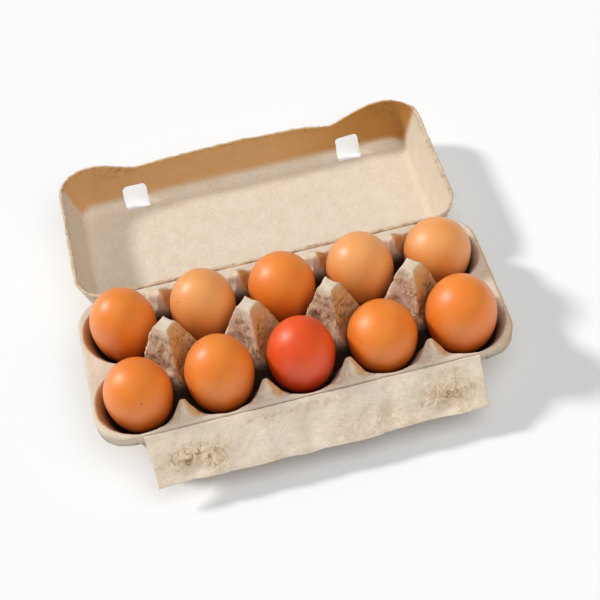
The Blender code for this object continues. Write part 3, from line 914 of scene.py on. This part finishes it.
# Materials -------------------------------------------------------------------------
class Nodes:
    """Short calls for building one material's node tree."""

    def __init__(self, name):
        self.mat = bpy.data.materials.new(name)
        self.mat.use_nodes = True
        self.tree = self.mat.node_tree
        self.shader = self.tree.nodes["Principled BSDF"]
        coords = self.tree.nodes.new("ShaderNodeTexCoord")
        self.place = coords.outputs["Object"]

    def add(self, kind, **values):
        node = self.tree.nodes.new("ShaderNode" + kind)
        for key, value in values.items():
            setattr(node, key, value)
        return node

    def link(self, source, target):
        self.tree.links.new(source, target)

    def noise(self, scale, detail=2.0, rough=0.5, stretch=None):
        node = self.add("TexNoise")
        node.inputs["Scale"].default_value = scale
        node.inputs["Detail"].default_value = detail
        node.inputs["Roughness"].default_value = rough
        source = self.place
        if stretch:
            mapping = self.add("Mapping")
            mapping.inputs["Scale"].default_value = stretch
            self.link(self.place, mapping.inputs["Vector"])
            source = mapping.outputs["Vector"]
        self.link(source, node.inputs["Vector"])
        return node.outputs["Fac"]

    def attribute(self, name):
        return self.add("Attribute", attribute_name=name).outputs["Fac"]

    def step(self, value, low, high, out_low=0.0, out_high=1.0):
        """A soft step from out_low at low to out_high at high."""
        node = self.add("MapRange", interpolation_type="SMOOTHSTEP")
        node.inputs["From Min"].default_value = low
        node.inputs["From Max"].default_value = high
        node.inputs["To Min"].default_value = out_low
        node.inputs["To Max"].default_value = out_high
        self.link(value, node.inputs["Value"])
        return node.outputs["Result"]

    def times(self, a, b):
        return self.maths("MULTIPLY", a, b)

    def maths(self, kind, a, b):
        node = self.add("Math", operation=kind)
        for socket, value in zip(node.inputs, (a, b)):
            if isinstance(value, (int, float)):
                socket.default_value = value
            else:
                self.link(value, socket)
        return node.outputs[0]

    def mix(self, amount, a, b):
        """Colour a turned to colour b by amount; sockets 0, 6 and 7 are the colour mix's own."""
        node = self.add("Mix", data_type="RGBA")
        sockets = (node.inputs[0], node.inputs[6], node.inputs[7])
        for socket, value in zip(sockets, (amount, a, b)):
            if isinstance(value, (int, float)):
                socket.default_value = value
            elif isinstance(value, tuple):
                socket.default_value = (*value, 1.0)
            else:
                self.link(value, socket)
        return node.outputs[2]

    def bump(self, height, distance, strength, normal=None):
        node = self.add("Bump")
        node.inputs["Distance"].default_value = distance
        node.inputs["Strength"].default_value = strength
        self.link(height, node.inputs["Height"])
        if normal:
            self.link(normal, node.inputs["Normal"])
        return node.outputs["Normal"]


def fine_cracks(n, crag):
    """Thin broken lines between plates of pulp, only where it is craggy, used as dents and as painted
    shade.
    """
    warp_noise = n.add("TexNoise")
    warp_noise.inputs["Scale"].default_value = 300.0
    n.link(n.place, warp_noise.inputs["Vector"])
    warp = n.add("VectorMath", operation="MULTIPLY_ADD")
    n.link(warp_noise.outputs["Color"], warp.inputs[0])
    warp.inputs[1].default_value = (0.0035, 0.0035, 0.0035)
    n.link(n.place, warp.inputs[2])
    plates = n.add("TexVoronoi", feature="DISTANCE_TO_EDGE")
    plates.inputs["Scale"].default_value = 230.0
    n.link(warp.outputs["Vector"], plates.inputs["Vector"])
    line = n.step(plates.outputs["Distance"], 0.0, 0.060, 1.0, 0.0)
    broken = n.step(n.noise(330.0, 2.0, 0.5), 0.50, 0.62)
    return n.times(n.times(line, broken), crag)


def pulp_material(name, lightness=1.0):
    """Mottled pulp with fibres and flecks, stained where it is craggy, with painted shade in its
    cracks, deep in the cups and on shaded walls; a lightness above 1 is painted light.
    """
    n = Nodes(name)
    light = tuple(lightness * value for value in PULP_LIGHT)
    middle = tuple(lightness * value for value in PULP_MID)
    mottle = n.step(n.noise(110.0, 5.0, 0.65), 0.30, 0.72)
    colour = n.mix(mottle, middle, light)
    fibres = n.noise(900.0, 3.0, 0.6, stretch=(0.35, 1.0, 1.0))
    colour = n.mix(n.step(fibres, 0.56, 0.74, 0.0, 0.35), colour, PULP_BROWN)
    flecks = n.noise(1500.0, 1.0, 0.4)
    colour = n.mix(n.step(flecks, 0.70, 0.76, 0.0, 0.55), colour, PULP_FLECK)
    crag = n.attribute("crag")
    stain = n.times(crag, n.step(n.noise(260.0, 3.0, 0.6), 0.36, 0.60))
    split = fine_cracks(n, crag)
    # The crag's tan and stain are the pulp's own colour; the warm, dusky, deep and crack tints are
    # painted shade.
    tints = (
        (crag, TAN_SHARE, PULP_TAN),
        (stain, STAIN_SHARE, PULP_BROWN),
        (n.attribute("warm_painted_shade"), WARM_SHADE_SHARE, PULP_WARM_SHADE),
        (n.attribute("dusk_painted_shade"), DUSK_SHADE_SHARE, PULP_DUSK_SHADE),
        (n.attribute("deep"), DEEP_SHADE_SHARE, PULP_DEEP_SHADE),
        (n.maths("MAXIMUM", n.attribute("crack"), split), CRACK_SHADE_SHARE, PULP_CRACK_SHADE),
    )
    for where, share, tint in tints:
        colour = n.mix(n.times(where, share), colour, tint)
    n.link(colour, n.shader.inputs["Base Color"])
    n.shader.inputs["Roughness"].default_value = 0.92
    n.shader.inputs["Specular IOR Level"].default_value = 0.25
    grain = n.bump(n.noise(1500.0, 3.0, 0.6), 0.0005, 0.60)
    lumps = n.bump(n.noise(420.0, 3.0, 0.55), 0.0009, 0.50, grain)
    n.link(n.bump(n.times(split, -1.0), 0.0007, 0.9, lumps), n.shader.inputs["Normal"])
    return n.mat


def egg_material(name, colour, deep, marks):
    """Cloudy, finely pored shell, darker low down as painted shade, with round marks on a share of its
    cells.
    """
    n = Nodes(name)
    cloud = n.step(n.noise(60.0, 2.0, 0.5), 0.30, 0.70, 0.35, 1.0)
    base = n.mix(cloud, deep, colour)
    height = n.add("SeparateXYZ")
    n.link(n.place, height.inputs["Vector"])
    # Painted shade: the shell is darker low down.
    low_end, high_end = EGG_EQUATOR_Z - 0.0080, EGG_EQUATOR_Z + 0.0200
    low = n.step(height.outputs["Z"], low_end, high_end, SHELL_LOW_SHADE_SHARE, 0.0)
    low_shade_colour = tuple(value * share for value, share in zip(colour, SHELL_LOW_SHADE))
    base = n.mix(low, base, low_shade_colour)
    pores = n.noise(1500.0, 2.0, 0.5)
    base = n.mix(n.step(pores, 0.60, 0.72, 0.0, 0.16), base, deep)
    spots = n.add("TexVoronoi", feature="F1")
    spots.inputs["Scale"].default_value = 210.0
    n.link(n.place, spots.inputs["Vector"])
    chosen = n.add("SeparateColor")
    n.link(spots.outputs["Color"], chosen.inputs["Color"])
    some = n.step(chosen.outputs["Red"], 1.0 - marks, 1.0 - marks + 0.01)
    dot = n.step(spots.outputs["Distance"], 0.09, 0.15, 1.0, 0.0)
    base = n.mix(n.times(n.times(some, dot), 0.8), base, SHELL_SPECKLE)
    n.link(base, n.shader.inputs["Base Color"])
    rough = n.step(n.noise(120.0, 2.0, 0.5), 0.3, 0.7, 0.48, 0.58)
    n.link(rough, n.shader.inputs["Roughness"])
    n.shader.inputs["Specular IOR Level"].default_value = 0.60
    n.shader.inputs["Coat Weight"].default_value = 0.70
    n.shader.inputs["Coat Roughness"].default_value = 0.42
    n.shader.inputs["Subsurface Weight"].default_value = 0.12
    n.shader.inputs["Subsurface Radius"].default_value = (1.0, 0.45, 0.2)
    n.shader.inputs["Subsurface Scale"].default_value = 0.002
    n.link(n.bump(n.noise(1300.0, 2.0, 0.5), 0.0001, 0.22), n.shader.inputs["Normal"])
    return n.mat


def stage_material():
    n = Nodes("stage_white")
    n.shader.inputs["Base Color"].default_value = FLOOR_GREY
    n.shader.inputs["Roughness"].default_value = 0.95
    n.shader.inputs["Specular IOR Level"].default_value = 0.1
    return n.mat


# Stage, light and camera ---------------------------------------------------------------
def build_stage():
    half = FLOOR_HALF
    points = [(-half, -half, 0.0), (half, -half, 0.0), (half, half, 0.0), (-half, half, 0.0)]
    floor = make_object("floor", points, [(0, 1, 2, 3)], stage_material())
    floor.location.z = -FLOOR_DROP


def build_light():
    world = bpy.data.worlds.new("studio")
    world.use_nodes = True
    sky = world.node_tree.nodes["Background"]
    sky.inputs["Color"].default_value = (1.0, 1.0, 1.0, 1.0)
    sky.inputs["Strength"].default_value = SKY_STRENGTH
    bpy.context.scene.world = world
    for name, strength, spread, direction, glints in LAMPS:
        lamp = bpy.data.lights.new(name, "SUN")
        lamp.energy = strength
        lamp.angle = math.radians(spread)
        light = bpy.data.objects.new(name, lamp)
        light.visible_glossy = glints
        light.rotation_euler = Vector(direction).to_track_quat("Z", "Y").to_euler()
        bpy.context.scene.collection.objects.link(light)


def build_camera():
    """The camera, turned round its target by azimuth and elevation and rolled."""
    back = Vector((
        math.sin(CAMERA_AZIMUTH) * math.cos(CAMERA_ELEVATION),
        -math.cos(CAMERA_AZIMUTH) * math.cos(CAMERA_ELEVATION),
        math.sin(CAMERA_ELEVATION),
    ))
    level = Vector((math.cos(CAMERA_AZIMUTH), math.sin(CAMERA_AZIMUTH), 0.0))
    upright = back.cross(level)
    right = level * math.cos(CAMERA_ROLL) + upright * math.sin(CAMERA_ROLL)
    up = upright * math.cos(CAMERA_ROLL) - level * math.sin(CAMERA_ROLL)
    data = bpy.data.cameras.new("camera")
    data.sensor_width = 36.0
    data.lens = CAMERA_LENS
    data.clip_start = 0.01
    data.clip_end = 20.0
    camera = bpy.data.objects.new("camera", data)
    turn = Matrix((right, up, back)).transposed().to_4x4()
    camera.matrix_world = Matrix.Translation(CAMERA_TARGET + back * CAMERA_DISTANCE) @ turn
    bpy.context.scene.collection.objects.link(camera)
    bpy.context.scene.camera = camera


def set_view():
    settings = bpy.context.scene.view_settings
    settings.view_transform = "Standard"
    settings.look = "None"


def main():
    set_view()
    build_camera()
    build_light()
    build_stage()
    pulp = pulp_material("pulp")
    # The flap's pulp is lighter, partly its own paler tone and partly painted light.
    flap_pulp = pulp_material("pulp_flap", FLAP_TONE_AND_PAINTED_LIGHT)
    builds = (("tray", build_tray, pulp), ("lid", build_lid, pulp), ("flap", build_flap, flap_pulp))
    for name, build, mat in builds:
        piece = build(mat)
        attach(piece, name)
        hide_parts(name)
    build_eggs()


main()
